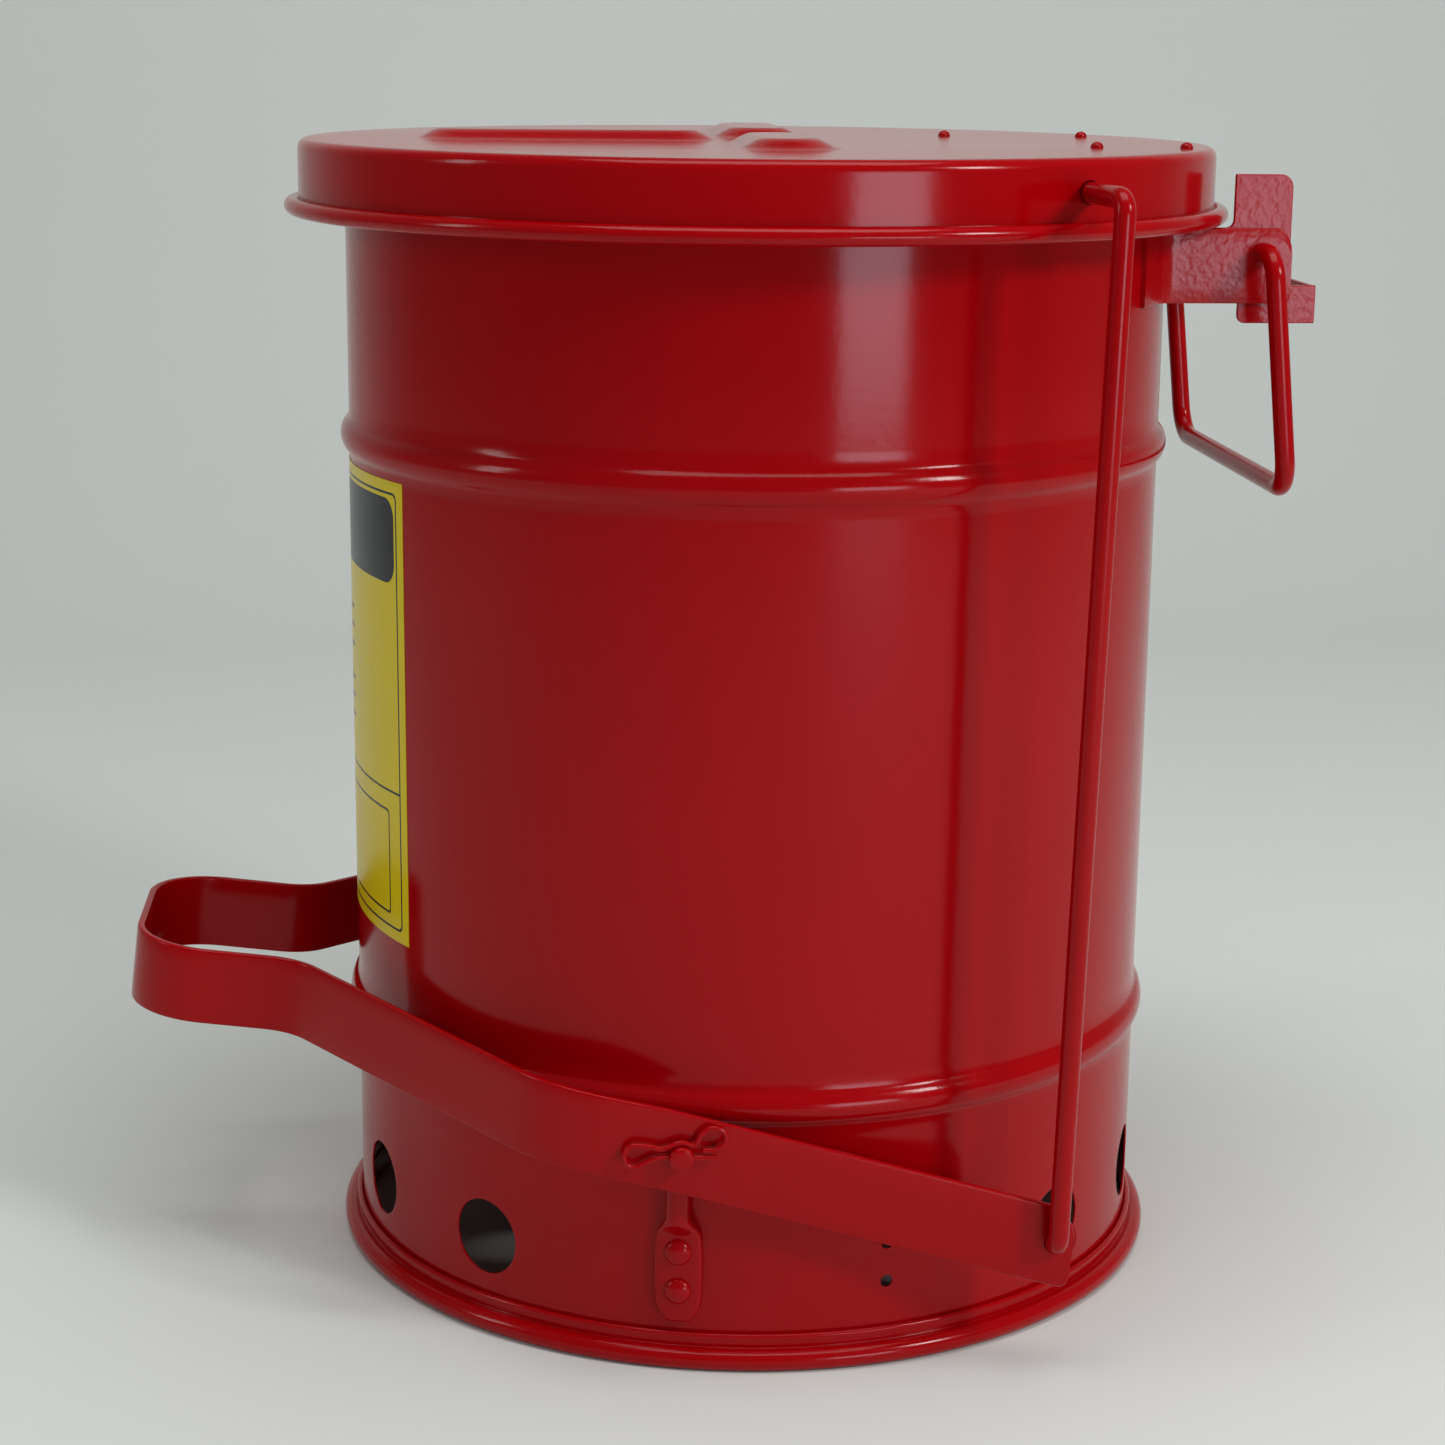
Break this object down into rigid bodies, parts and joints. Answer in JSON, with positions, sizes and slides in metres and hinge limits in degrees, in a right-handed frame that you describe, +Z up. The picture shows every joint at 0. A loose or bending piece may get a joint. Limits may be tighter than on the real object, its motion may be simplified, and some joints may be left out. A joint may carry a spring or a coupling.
{
  "type": "oily waste can",
  "caption": "Foot-operated steel can for oily rags: a pedal lifts the hinged lid through a side rod; vented raised base and swinging rear handle.",
  "frame": {"origin": "centre of the base ring, on the floor plane, on the can's own axis", "axes": "+Z up along the can's axis; +X towards the hinge and the carrying handle, so the pedal's foot loop points to -X; -Y is the lift rod's side; the hinge pin lies along Y"},
  "size_m": [0.4795, 0.3846, 0.468],
  "materials": {
    "red_enamel": "glossy bright red baked enamel with a slight orange peel",
    "label": "smooth printed film, yellow with black panels"
  },
  "bodies": {
    "can": {"body_shell": "red_enamel", "base_ring": "red_enamel", "raised_bottom": "red_enamel", "hinge_bracket": "red_enamel", "pivot_stud_near": "red_enamel", "pivot_stud_far": "red_enamel", "stud_rivets_near": "red_enamel", "stud_rivets_far": "red_enamel", "cotter_clip_near": "red_enamel", "cotter_clip_far": "red_enamel", "front_label": "label"},
    "lid": {"lid_pan": "red_enamel", "lid_arm": "red_enamel", "lid_arm_rivets": "red_enamel"},
    "pedal": {"foot_pedal": "red_enamel"},
    "lift_rod": {"lift_rod": "red_enamel", "rod_washer_top": "red_enamel", "rod_washer_bottom": "red_enamel"},
    "handle": {"carry_handle": "red_enamel"}
  },
  "joints": [
    {"name": "lid_hinge", "type": "hinge", "parent": "can", "child": "lid", "pos_m": [0.1955, 0, 0.424], "axis": [0, 1, 0], "range_deg": [0, 50]},
    {"name": "pedal_pivot", "type": "hinge", "parent": "can", "child": "pedal", "pos_m": [-0.04186, 0, 0.094], "axis": [0, 1, 0], "range_deg": [-23.65, 0]},
    {"name": "rod_swing", "type": "hinge", "parent": "lid", "child": "lift_rod", "pos_m": [0.107, -0.15275, 0.4515], "axis": [0, 1, 0], "range_deg": [-42.94, 0]},
    {"name": "handle_swing", "type": "hinge", "parent": "can", "child": "handle", "pos_m": [0.1955, 0, 0.424], "axis": [0, -1, 0], "range_deg": [-17, 140]}
  ],
  "couplings": [
    {"joint": "pedal_pivot", "follows": "lid_hinge", "ratio": -0.47302},
    {"joint": "rod_swing", "follows": "lid_hinge", "ratio": -0.85887}
  ]
}
